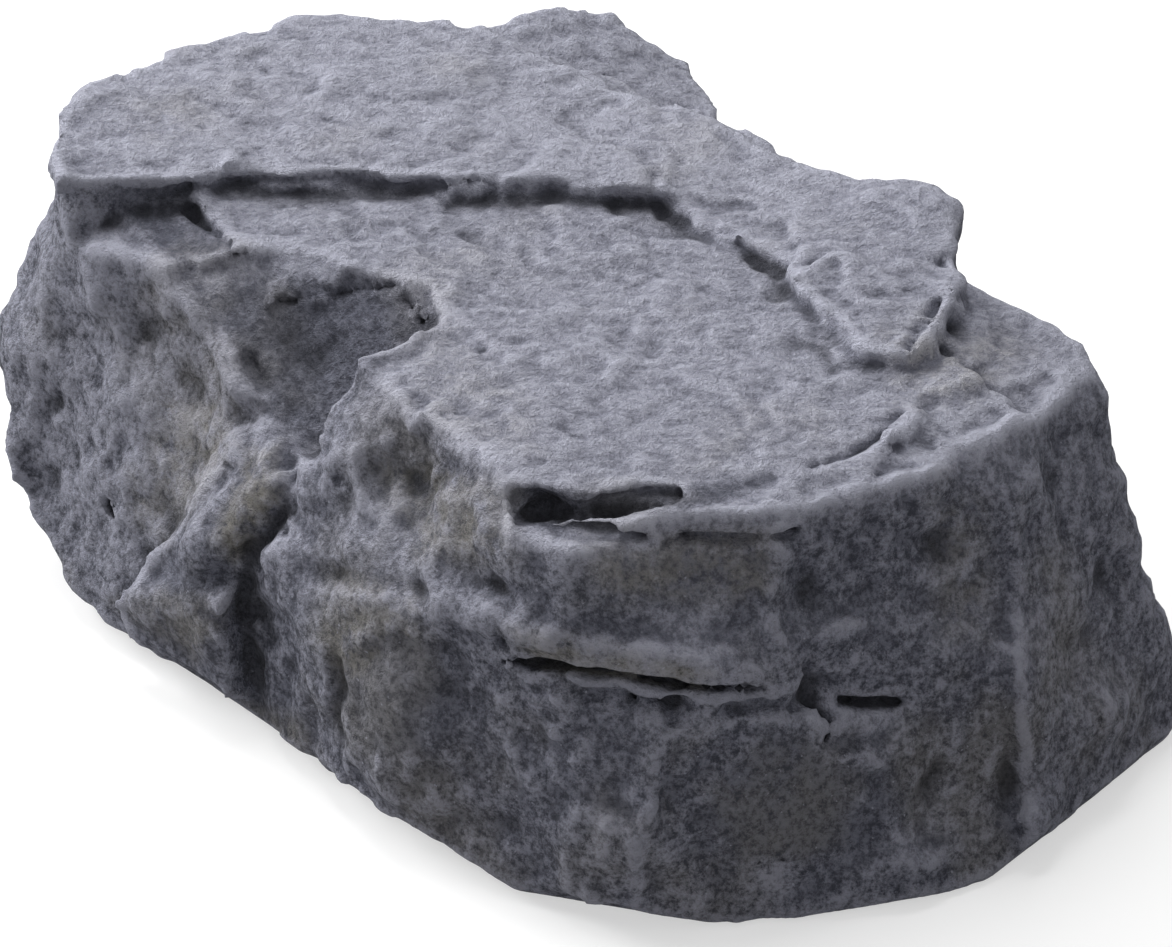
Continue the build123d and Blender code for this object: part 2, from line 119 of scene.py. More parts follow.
class Grid:
    """A box of points, STEP apart, round the stone."""

    def __init__(self, low, high):
        self.low = np.array(low)
        self.shape = tuple(int(n) for n in np.ceil((np.array(high) - self.low) / STEP) + 1)
        self.axes = [self.low[a] + STEP * np.arange(self.shape[a]) for a in range(3)]

    def points(self, where):
        """The places of the grid points in a mask."""
        index = np.nonzero(where)
        return np.stack([self.axes[a][index[a]] for a in range(3)], axis=-1)

    def window(self, low, high):
        """The slices of the grid that a box covers, and the places of the points in them."""
        first = np.clip(np.floor((low - self.low) / STEP).astype(int), 0, None)
        last = np.minimum(np.ceil((high - self.low) / STEP).astype(int) + 1, self.shape)
        slices = tuple(slice(a, b) for a, b in zip(first, last))
        lines = [self.axes[a][slices[a]] for a in range(3)]
        return slices, np.stack(np.meshgrid(*lines, indexing="ij"), axis=-1)

    def sample(self, field, points):
        """A field of the grid at any points, between the grid's own."""
        place = (points - self.low) / STEP
        cell = np.clip(np.floor(place).astype(int), 0, np.array(self.shape) - 2)
        part = np.clip(place - cell, 0.0, 1.0)
        value = 0.0
        for corner in np.ndindex(2, 2, 2):
            shares = [part[..., a] if corner[a] else 1.0 - part[..., a] for a in range(3)]
            value = value + np.prod(shares, axis=0) * field[tuple(cell[..., a] + corner[a] for a in range(3))]
        return value

    def noise(self, seed, size, stretch=(1, 1, 1)):
        """Soft random swellings of about a size, longer along an axis by its stretch, with a spread of 1."""
        random = np.random.default_rng(seed)
        weights, knots = [], []
        for axis in range(3):
            place = np.arange(self.shape[axis]) * STEP / (size * stretch[axis]) + random.random()
            knot = np.floor(place).astype(int)
            t = place - knot
            spline = ((1 - t) ** 3, 3 * t**3 - 6 * t**2 + 4, -3 * t**3 + 3 * t**2 + 3 * t + 1, t**3)
            table = np.zeros((len(place), knot[-1] + 4), np.float32)
            for k in range(4):
                table[np.arange(len(place)), knot + k] = spline[k] / 6
            weights.append(table)
            knots.append(table.shape[1])
        field = random.standard_normal(knots).astype(np.float32)
        for table in weights:
            field = np.tensordot(field, table, axes=(0, 1))
        return field / field.std()

    def rough(self, seed, size, octaves, gain):
        """Noise with finer and fainter noise on it, each octave half the size of the last."""
        field = sum(gain**k * self.noise(seed + k, size / 2**k) for k in range(octaves))
        return field / field.std()

    def creased(self, seed, size, octaves, gain, stretch):
        """Sharp winding ridges between rounded dips, with finer ones among them."""
        field = sum(-(gain**k) * np.abs(self.noise(seed + k, size / 2**k, stretch)) for k in range(octaves))
        return (field - field.mean()) / field.std()

    def blur(self, field, radius):
        """The mean over a cube of about a radius."""
        count = max(1, round(radius / STEP))
        for axis in range(3):
            for _ in range(2):
                padded = np.concatenate(
                    [np.repeat(np.take(field, [0], axis), count + 1, axis), field]
                    + [np.repeat(np.take(field, [-1], axis), count, axis)],
                    axis,
                )
                total = np.cumsum(padded, axis, dtype=np.float64)
                span = 2 * count + 1
                ahead = np.take(total, range(span, total.shape[axis]), axis)
                behind = np.take(total, range(total.shape[axis] - span), axis)
                field = ((ahead - behind) / span).astype(np.float32)
        return field

    def surface(self, field):
        """The skin where the field is nought: a point in each cell it crosses, a face on each grid line."""
        inside = field < 0
        cells = tuple(n - 1 for n in self.shape)
        count = np.zeros(cells, np.int8)
        for corner in np.ndindex(2, 2, 2):
            count += inside[tuple(slice(c, c + n) for c, n in zip(corner, cells))]
        active = np.nonzero((count > 0) & (count < 8))
        number = np.full(cells, -1)
        number[active] = np.arange(len(active[0]))
        place = np.zeros((len(active[0]), 3))
        hits = np.zeros(len(active[0]))
        faces = []
        for axis in range(3):
            one, two = (axis + 1) % 3, (axis + 2) % 3
            along = np.eye(3, dtype=int)[axis]
            for corner in np.ndindex(2, 2):
                offset = np.zeros(3, int)
                offset[one], offset[two] = corner
                start = tuple(active[a] + offset[a] for a in range(3))
                end = tuple(start[a] + along[a] for a in range(3))
                a, b = field[start], field[end]
                crossed = (a < 0) != (b < 0)
                share = np.where(crossed, a / np.where(crossed, a - b, 1), 0)
                for k in range(3):
                    place[:, k] += crossed * (start[k] + share * along[k])
                hits += crossed
            lines = [slice(0, n) for n in self.shape]
            lines[axis] = slice(0, self.shape[axis] - 1)
            ends = [slice(0, n) for n in self.shape]
            ends[axis] = slice(1, self.shape[axis])
            low, high = inside[tuple(lines)], inside[tuple(ends)]
            i = np.stack(np.nonzero(low != high), axis=-1)
            i = i[(i[:, one] > 0) & (i[:, two] > 0) & (i[:, one] < cells[one]) & (i[:, two] < cells[two])]
            around = []
            for back_one, back_two in ((0, 0), (1, 0), (1, 1), (0, 1)):
                cell = i.copy()
                cell[:, one] -= back_one
                cell[:, two] -= back_two
                around.append(number[tuple(cell.T)])
            quad = np.stack(around, axis=-1)
            outward = low[tuple(i.T)]
            faces.append(np.where(outward[:, None], quad, quad[:, ::-1]))
        return self.low + STEP * place / hits[:, None], np.concatenate(faces)


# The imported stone's outer skin --------------------------------------------------------------------
rock = frame["nodes"]["rock_shell"]
rock_low, rock_high = (np.array(corner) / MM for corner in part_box("rock_shell"))
grid = Grid((*(rock_low[:2] - MARGIN), -3 * STEP), rock_high + MARGIN)

# the block round the compartment, which keeps its true shape
RECESS_MIDDLE, RECESS_HALF = np.array((3.0, -2.5)), np.array((36.5, 20.5))
RECESS_FLOOR, RECESS_TOP = -1.0, 16.0
RECESS_LOW = np.array((*(RECESS_MIDDLE - RECESS_HALF), RECESS_FLOOR))
RECESS_HIGH = np.array((*(RECESS_MIDDLE + RECESS_HALF), RECESS_TOP))

NUDGE = 1e-4  # keeps a ray off the solid's own edges, and past a face that it has met
FAR_FROM_SKIN = 0.002  # a blurred share as near as this to 0 or 1 is out of reach of the skin
FILL = 2.0  # slots up to about this wide are closed in the filled field

corners = np.array([tuple(v.co) for v in rock.data.vertices]) / MM
skin = BVHTree.FromPolygons(corners.tolist(), [tuple(p.vertices) for p in rock.data.polygons])


def inside_stone():
    """Which grid points are under the skin, counted down each upright line of the grid."""
    under = np.zeros(grid.shape, bool)
    top = float(grid.axes[2][-1]) + 1.0
    down = Vector((0, 0, -1))
    for i, x in enumerate(grid.axes[0]):
        for j, y in enumerate(grid.axes[1]):
            height = top
            while True:
                hit = skin.ray_cast(Vector((x + NUDGE, y + 0.7 * NUDGE, height)), down)[0]
                if hit is None:
                    break
                under[i, j, : max(0, int(math.floor((hit.z - grid.low[2]) / STEP)) + 1)] ^= True
                height = hit.z - NUDGE
    return under


def distances():
    """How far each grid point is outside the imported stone, and below nought inside it."""
    under = inside_stone()
    solid = grid.blur(under.astype(np.float32), REACH / 2)
    near = (solid > FAR_FROM_SKIN) & (solid < 1.0 - FAR_FROM_SKIN)
    found = np.full(grid.shape, REACH, np.float32)
    found[near] = [skin.find_nearest(p)[3] for p in grid.points(near).tolist()]
    return np.where(under, -found, found), near


plain, near = distances()
filled = (0.5 - grid.blur((plain < 0).astype(np.float32), FILL)) * 2 * FILL

# Rough stone --------------------------------------------------------------------------------------
WANDER = 0.50  # how far edges stray sideways
BED_WANDER = 0.10  # and up or down
SIDE_SWELL, SIDE_CREASE, SIDE_GRAIN = 0.16, 0.22, 0.08
BED_SWELL, BED_CREASE, BED_GRAIN = 0.06, 0.03, 0.075
LEAF = 0.27  # the height of the thin leaves on the beds
LEAF_SPREAD = 1.1  # how many leaves the noise stacks up
LEAF_LOWEST, LEAF_HIGHEST, LEAF_LEVEL = -2.0, 1.9, 0.4  # the stack's ends, and where the bed itself lies
TREAD = 0.86  # the flat share of each stair that the leaves make
FOOT_FADE, RECESS_FADE = 3.0, 2.5  # the foot and the recess stay true: the stone is fully rough this far off
FACING_BLUR = 0.8
SIDE_FACING, BED_FACING = 0.55, 0.85  # how far a side faces up at most, and a bed at least

# each noise: its seed, the size of its lumps, its octaves and what each keeps of the last; the stray has a
# seed for each axis
STRAY_NOISE = dict(size=7.0, octaves=4, gain=0.6)
SWELL_NOISE = dict(seed=SEED + 100, size=16.0, octaves=3, gain=0.5)
CREASE_NOISE = dict(seed=SEED + 110, size=7.5, octaves=4, gain=0.68, stretch=(1, 1, 1.5))
GRAIN_NOISE = dict(seed=SEED + 130, size=1.1, octaves=2, gain=0.8)
LEAF_NOISE = dict(seed=SEED + 140, size=11.0, octaves=4, gain=0.6)
RAGGED_NOISE = dict(seed=SEED + 200, size=2.6, octaves=2, gain=0.7)

gradient = np.stack(np.gradient(grid.blur(plain, FACING_BLUR), STEP), axis=-1)
facing = gradient / np.maximum(np.linalg.norm(gradient, axis=-1, keepdims=True), 1e-6)
upward = smooth_step(SIDE_FACING, BED_FACING, facing[..., 2])  # 1 on the beds, 0 on the sides
level = np.broadcast_to(grid.axes[2], grid.shape)
beyond = [np.maximum(RECESS_LOW[a] - grid.axes[a], grid.axes[a] - RECESS_HIGH[a]) for a in range(3)]
from_recess = np.maximum(beyond[0][:, None, None], beyond[1][None, :, None])
from_recess = np.maximum(from_recess, beyond[2][None, None, :])
off_base = smooth_step(0.0, FOOT_FADE, level) * smooth_step(0.0, RECESS_FADE, from_recess)


def steps(value):
    """A slope turned into stairs: flat treads with steep risers between them."""
    tread = np.floor(value)
    return tread + smooth_step(TREAD, 1.0, value - tread)


def roughen(field):
    """The stone's skin with strayed edges, swellings, leaves and grain."""
    points = grid.points(near)
    stray = [grid.rough(SEED + 20 * a, **STRAY_NOISE)[near] for a in range(3)]
    reach = np.array((WANDER, WANDER, BED_WANDER)) * off_base[near][:, None]
    moved = field.copy()
    moved[near] = grid.sample(field, points + np.stack(stray, axis=-1) * reach)
    swell = grid.rough(**SWELL_NOISE)
    crease = grid.creased(**CREASE_NOISE)
    grain = grid.rough(**GRAIN_NOISE)
    side = SIDE_SWELL * swell + SIDE_CREASE * crease + SIDE_GRAIN * grain
    leaves = steps(np.clip(LEAF_SPREAD * grid.rough(**LEAF_NOISE), LEAF_LOWEST, LEAF_HIGHEST)) - LEAF_LEVEL
    bed = BED_SWELL * swell + BED_CREASE * crease + BED_GRAIN * grain + LEAF * leaves
    return moved - off_base * (upward * bed + (1 - upward) * side)


stone = roughen(plain)
ragged = np.clip(grid.rough(**RAGGED_NOISE), -2.0, 2.0)

# The photograph's marks ---------------------------------------------------------------------------
# Each line or outline is a row of pixels in the photograph, laid on the stone where the eye's rays meet it.
SAMPLE_EVERY = 0.35  # mm along a line
SPARE = 1.0  # of grid round a mark
CRACK_TAPER, RIB_TAPER = 3.0, 4.0  # how steeply each grows from its ends
CRACK_RAGGED, RIB_RAGGED, LEAF_RAGGED, PLUG_RAGGED = 0.35, 0.25, 0.5, 0.2
RIB_DEPTH = 3.0  # a rib marks no stone that lies further in or out
LEAF_EDGE = 0.35  # how broad the slope at a leaf's edge is
PLUG_CORE, PLUG_DROP = 0.7, 3.0  # the share of a plug's radius that is full, and how far its rim drops


def laid(pixels):
    """Where the eye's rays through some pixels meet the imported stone, and which way its skin faces there."""
    places, ways = [], []
    for pixel in pixels:
        place, way, *_ = skin.ray_cast(Vector(EYE), Vector(pixel_ray(pixel)))
        if place is None:
            continue
        places.append(place)
        ways.append(way)
    return np.array(places), np.array(ways)


def along(pixels):
    """A line of pixels on the stone, sampled evenly: places, facings, and how far from an end, 0 to 1."""
    pixels = np.array(pixels, float)
    runs = np.linalg.norm(np.diff(pixels, axis=0), axis=1)
    reached = np.concatenate(([0.0], np.cumsum(runs)))
    count = max(3, int(reached[-1] / PIXELS_PER_MM / SAMPLE_EVERY))
    at = np.linspace(0.0, reached[-1], count)
    row = np.stack([np.interp(at, reached, pixels[:, a]) for a in range(2)], axis=-1)
    places, ways = laid(row)
    share = np.linspace(0.0, 1.0, len(places))
    return places, ways, np.minimum(share, 1.0 - share) * 2.0


def beside(places, ways, reach):
    """The grid's window round a line, and the nearest sample of the line to each point in it.

    The way from that sample to the point comes in two parts: how far out of the skin it goes, and how
    far aside.
    """
    window, points = grid.window(places.min(axis=0) - reach, places.max(axis=0) + reach)
    best = np.full(points.shape[:3], np.inf)
    which = np.zeros(points.shape[:3], int)
    for k, place in enumerate(places):
        away = ((points - place) ** 2).sum(axis=-1)
        closer = away < best
        best[closer] = away[closer]
        which[closer] = k
    offset = points - places[which]
    out = (offset * ways[which]).sum(axis=-1)
    return window, which, out, np.sqrt(np.maximum((offset**2).sum(axis=-1) - out**2, 0.0))


def crack(pixels, gape, depth, into):
    """A slit that goes in from a line: gape wide at its mouth, nought at its depth and at both ends."""
    places, ways, ends = along(pixels)
    if into is not None:
        ways = np.broadcast_to(-np.array(into) / np.linalg.norm(into), ways.shape)
    window, which, out, aside = beside(places, ways, depth + SPARE)
    taper = np.minimum(1.0, CRACK_TAPER * ends[which]) ** 0.5
    half = 0.5 * gape * taper * (1.0 + CRACK_RAGGED * ragged[window])
    room = aside - half * (1.0 - np.maximum(-out, 0.0) / depth)
    stone[window] = np.maximum(stone[window], -room)


def ridge(pixels, height, width):
    """A rounded rib on a line, or a rounded furrow where the height is below nought."""
    places, ways, ends = along(pixels)
    window, which, out, aside = beside(places, ways, 3.0 * width + SPARE)
    fade = np.minimum(1.0, RIB_TAPER * ends[which]) * np.exp(-((out / RIB_DEPTH) ** 4))
    stone[window] -= height * fade * np.exp(-((aside / width) ** 2)) * (1.0 + RIB_RAGGED * ragged[window])


def polygon(seen, pixels):
    """Which places are seen inside an outline, and how far each is from the outline, in pixels."""
    outline = np.array(pixels, float)
    within = np.zeros(seen.shape[:-1], bool)
    away = np.full(seen.shape[:-1], np.inf)
    for (x0, y0), (x1, y1) in zip(outline, np.roll(outline, -1, axis=0)):
        across = (y0 > seen[..., 1]) != (y1 > seen[..., 1])
        if y1 != y0:
            within ^= across & (seen[..., 0] < x0 + (x1 - x0) * (seen[..., 1] - y0) / (y1 - y0))
        run = np.array((x1 - x0, y1 - y0))
        share = np.clip(((seen - (x0, y0)) @ run) / (run @ run), 0.0, 1.0)
        foot = np.array((x0, y0)) + share[..., None] * run
        away = np.minimum(away, np.linalg.norm(seen - foot, axis=-1))
    return within, away


def flake(pixels, height):
    """A leaf of stone inside an outline, raised or, below nought, fallen out, with a crumbled edge."""
    places, _ = laid(pixels)
    window, points = grid.window(places.min(axis=0) - 3.0 * SPARE, places.max(axis=0) + 3.0 * SPARE)
    within, away = polygon(to_pixels(points), pixels)
    depth = np.where(within, away, -away) / PIXELS_PER_MM + LEAF_RAGGED * ragged[window]
    stone[window] -= height * smooth_step(0.0, LEAF_EDGE, depth)


def mound(pixel, radius, height):
    """A soft bulge, or a hollow where the height is below nought."""
    place, _ = laid([pixel])
    window, points = grid.window(place[0] - 3 * radius, place[0] + 3 * radius)
    away = np.linalg.norm(points - place[0], axis=-1)
    stone[window] -= height * np.exp(-((away / radius) ** 2))


def plug(pixel, radius, lift):
    """Closes a narrow slot round a place, and lifts the skin there to make up for the dent that is left."""
    place, _ = laid([pixel])
    window, points = grid.window(place[0] - radius, place[0] + radius)
    away = np.linalg.norm(points - place[0], axis=-1) / radius
    cover = PLUG_DROP * smooth_step(PLUG_CORE, 1.0, away) - lift * (1.0 - smooth_step(0.0, PLUG_CORE, away))
    stone[window] = np.minimum(stone[window], filled[window] + cover + PLUG_RAGGED * ragged[window])


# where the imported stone's slots are closed in the photograph: the middle, the radius and the lift in mm
PLUGS = [
    # over the right-hand end of the bedding crack
    ((800, 675), 5.0, 0.3),
    ((845, 668), 5.5, 0.3),
    ((890, 660), 5.5, 0.3),
    ((930, 655), 4.5, 0.3),
    # along it
    ((530, 664), 5.0, 0.6),
    ((590, 675), 5.0, 0.8),
    ((650, 685), 5.0, 0.8),
    ((710, 688), 5.0, 0.8),
    ((760, 688), 5.0, 0.6),
    # between it and the short crack at its right
    ((824, 720), 4.5, 0.4),
    ((742, 708), 4.5, 0.7),
    ((790, 690), 4.5, 0.6),
    # under it
    ((560, 708), 4.5, 0.8),
    ((605, 716), 4.5, 0.8),
    ((650, 718), 4.5, 0.8),
    ((700, 718), 4.5, 0.8),
    # the right-hand half of the slot under the front rim
    ((720, 524), 3.5, 0.3),
    ((760, 520), 3.5, 0.3),
    ((805, 512), 3.5, 0.3),
]

BEDS_IN = (-0.33, 0.94, 0.0)  # level and into the hill, under the top layer's front edge

UNDER_TOP_LAYER = [(108, 190), (150, 196), (200, 187), (260, 181), (330, 180)]
UNDER_TOP_LAYER += [(400, 190), (470, 187), (540, 182), (640, 180)]

# cracks: the line, the gape at the mouth and the depth in mm, and which way they go in if not straight in
CRACKS = [
    # under the front edge of the top layer, from the left-hand lip to the tip
    (UNDER_TOP_LAYER, 1.2, 3.0, BEDS_IN),
    ([(330, 182), (380, 176), (420, 166), (480, 157)], 0.8, 2.0, BEDS_IN),
    ([(640, 190), (700, 225), (745, 262), (790, 290), (830, 325), (862, 352)], 0.7, 1.5, BEDS_IN),
    ([(905, 352), (925, 322), (943, 296)], 0.9, 1.2, None),
    # the chips at the left of the front rim
    ([(182, 205), (205, 225), (250, 256)], 1.2, 1.6, None),
    ([(268, 300), (320, 292), (360, 286), (402, 284)], 0.9, 1.3, None),
    ([(402, 290), (415, 312), (432, 330)], 1.0, 1.6, None),
    # the two bedding cracks across the front
    ([(500, 655), (530, 666), (600, 673), (680, 684), (765, 690)], 1.5, 3.2, None),
    ([(796, 694), (830, 701), (870, 706), (912, 703)], 0.8, 2.0, None),
    # along the front rim
    ([(800, 466), (850, 452), (880, 436), (905, 415), (940, 402)], 0.8, 0.9, None),
    # pits
    ([(496, 638), (510, 641)], 1.4, 1.6, None),
    ([(938, 252), (946, 268)], 1.5, 1.4, None),
    ([(266, 428), (272, 438)], 1.0, 1.0, None),
    ([(700, 812), (702, 826)], 1.1, 1.1, None),
    ([(1090, 705), (1100, 722)], 0.8, 1.0, None),
    ([(108, 505), (112, 515)], 0.8, 0.8, None),
]

# ribs, or furrows where the height is below nought: the line, the height and the width in mm
RIBS = [
    # the twig and its furrow
    ([(272, 432), (262, 470), (240, 515), (215, 545), (180, 590)], 0.4, 1.0),
    ([(290, 435), (288, 480), (276, 515), (252, 552), (222, 580), (205, 610)], -0.8, 0.9),
    ([(252, 438), (228, 480), (200, 515), (172, 560), (140, 592)], -0.3, 0.9),
    ([(245, 498), (268, 512)], -0.5, 0.5),
    ([(205, 520), (228, 530)], -0.5, 0.5),
    ([(120, 600), (160, 596), (215, 600), (232, 612)], 0.7, 1.3),
    ([(262, 612), (240, 612), (215, 640)], -0.7, 0.8),
    # the edge of the left facet
    ([(110, 195), (165, 262), (215, 350), (262, 415)], 0.35, 0.7),
    ([(245, 355), (268, 392)], -0.9, 0.8),
    # the branching ribs of the shoulder
    ([(310, 435), (340, 445), (360, 455), (362, 490), (355, 545)], 0.4, 0.8),
    ([(360, 455), (380, 447), (398, 438)], 0.4, 0.7),
    ([(290, 570), (340, 574), (400, 588), (440, 596)], -0.8, 1.0),
    ([(400, 548), (440, 585), (500, 612), (545, 628)], 0.6, 1.2),
    ([(432, 552), (455, 578), (485, 590), (545, 590)], -0.6, 0.8),
    ([(515, 490), (512, 530), (505, 565)], 0.35, 0.8),
    ([(575, 585), (570, 560), (578, 540)], 0.3, 0.7),
    # the lip over the crack
    ([(500, 628), (560, 640), (620, 650), (700, 668), (745, 678)], 0.6, 1.4),
    ([(640, 640), (690, 655), (720, 656)], 0.25, 0.5),
    # the low bulge and what lies round it
    ([(340, 652), (375, 630), (410, 622), (435, 640)], 0.5, 0.9),
    ([(332, 650), (338, 690), (330, 720), (338, 755)], -0.7, 0.9),
    ([(440, 650), (470, 690), (505, 740), (535, 790), (560, 805)], 0.5, 1.1),
    ([(560, 800), (610, 820), (660, 850), (700, 880), (722, 912)], 0.3, 0.9),
    ([(548, 720), (552, 760), (560, 792)], 0.3, 0.7),
    ([(600, 800), (640, 812)], -0.5, 0.5),
    # the smooth patch under the second crack
    ([(785, 700), (745, 745), (705, 795), (698, 815)], 0.3, 1.1),
    ([(702, 830), (712, 870), (728, 905)], -0.45, 0.8),
    ([(735, 915), (745, 925), (765, 932)], 0.4, 0.7),
    ([(820, 750), (860, 745), (900, 735)], -0.5, 0.9),
    ([(830, 775), (870, 780), (905, 790)], -0.4, 0.9),
    ([(760, 925), (850, 892), (940, 860), (1000, 850)], 0.3, 1.0),
    ([(840, 872), (900, 850), (960, 842)], -0.35, 0.6),
    # the upright folds at the right
    ([(1020, 395), (1030, 450), (1035, 520), (1040, 600)], 0.2, 1.2),
    ([(1040, 600), (1052, 660), (1045, 700)], 0.12, 1.4),
    ([(1070, 400), (1075, 470), (1085, 560), (1080, 640), (1055, 700)], 0.15, 0.8),
    ([(940, 520), (945, 580), (930, 650)], -0.6, 1.4),
    ([(975, 520), (1000, 545)], -0.3, 0.8),
    ([(1140, 580), (1146, 620), (1150, 660)], 0.3, 0.6),
    ([(1050, 470), (1062, 540), (1060, 600)], -0.35, 0.8),
    ([(775, 520), (772, 570), (768, 640)], 0.3, 0.9),
    ([(725, 565), (750, 555), (770, 540)], 0.25, 0.5),
]

RAISED_TIP = [(960, 290), (985, 300), (990, 360), (970, 392), (930, 402)]
RAISED_TIP += [(905, 440), (880, 436), (925, 380), (945, 345)]

# leaves of slate, or where leaves fell out if the height is below nought: the outline and the height in mm
LEAVES = [
    # at the tip of the top layer
    ([(620, 198), (700, 196), (760, 215), (792, 222), (800, 262), (786, 290), (742, 262), (700, 225)], -0.55),
    ([(790, 262), (840, 262), (866, 300), (868, 345), (835, 330), (800, 290)], -0.5),
    ([(845, 300), (905, 290), (935, 300), (905, 352), (868, 350)], -0.35),
    (RAISED_TIP, 0.4),
    # fallen out of the front rim over the slot
    ([(512, 490), (560, 493), (640, 494), (685, 492), (690, 502), (620, 512), (560, 528), (514, 528)], -1.1),
    ([(685, 492), (772, 480), (776, 490), (690, 502)], -0.4),
    # on the lower bed
    ([(610, 240), (640, 242), (652, 254), (625, 258)], 0.3),
    ([(792, 345), (822, 350), (830, 368), (800, 366)], -0.3),
    ([(470, 340), (498, 352), (505, 366), (478, 360)], -0.3),
    ([(600, 366), (640, 368), (655, 380), (615, 380)], 0.25),
    ([(425, 420), (470, 440), (470, 425), (440, 400)], -0.3),
    ([(110, 205), (150, 205), (160, 235), (135, 238)], 0.3),
    ([(255, 275), (300, 268), (345, 275), (340, 290), (270, 300)], 0.5),
    # chips out of the front rim
    ([(875, 478), (896, 446), (930, 436), (938, 452)], -0.6),
    ([(952, 428), (990, 406), (1004, 418), (962, 442)], -0.5),
    ([(1010, 402), (1045, 368), (1060, 380), (1024, 414)], -0.5),
    ([(800, 490), (850, 470), (862, 482), (812, 500)], -0.4),
    ([(300, 440), (330, 432), (345, 452), (310, 462)], -0.4),
    ([(405, 395), (432, 400), (440, 430), (412, 428)], -0.5),
    # on the top layer
    ([(90, 140), (180, 120), (260, 128), (240, 160), (130, 175)], 0.25),
    ([(300, 60), (420, 40), (520, 60), (470, 90), (330, 96)], 0.25),
    ([(560, 100), (660, 110), (720, 140), (640, 150), (560, 130)], -0.25),
]

# soft bulges, or hollows where the height is below nought: the middle, the radius and the height in mm
MOUNDS = [
    ((320, 350), 4.0, -0.8),
    ((400, 500), 4.0, -0.5),
    ((345, 610), 3.0, 0.5),
    ((290, 650), 5.0, -0.7),
    ((440, 610), 2.5, 0.5),
    ((620, 745), 5.5, -0.9),
    ((600, 830), 4.0, 0.5),
    ((750, 800), 4.0, 0.5),
    ((860, 770), 6.0, -0.9),
    ((960, 560), 5.0, -0.8),
    ((650, 580), 5.0, 0.4),
    ((830, 600), 5.0, -0.4),
    ((120, 350), 6.0, 0.4),
    ((180, 480), 4.0, -0.4),
    ((1100, 700), 5.0, 0.4),
    # the outline
    ((935, 215), 4.0, 1.2),
    ((885, 195), 4.0, 0.9),
    ((565, 22), 6.0, 1.0),
    ((110, 100), 5.0, 0.7),
    ((25, 340), 7.0, 0.9),
    ((40, 490), 8.0, -1.8),
    ((1120, 540), 6.0, 0.9),
]

# the slots are closed first, so that the photograph's own cracks are cut into what closed them
for carve, marks in ((plug, PLUGS), (crack, CRACKS), (ridge, RIBS), (flake, LEAVES), (mound, MOUNDS)):
    for mark in marks:
        carve(*mark)

stone = np.maximum(stone, -level)  # flat where it stands

# The skin as a mesh -------------------------------------------------------------------------------
NEAR_SHADE, FAR_SHADE = 0.6, 2.4  # how far round a point its stone is measured; the far measure drives the painted shade in the hollows
SHADE_GAIN = 3.0
NORMAL_BLUR = 0.9
DUST_STARTS, DUST_FULL = 0.2, 0.95  # how far the skin faces up where dust starts and where it lies full
GRAZING = 0.15  # the skin has its stains in full where it faces the eye by more than this
FLAT_ANGLE = math.radians(2)  # between faces that are one wall

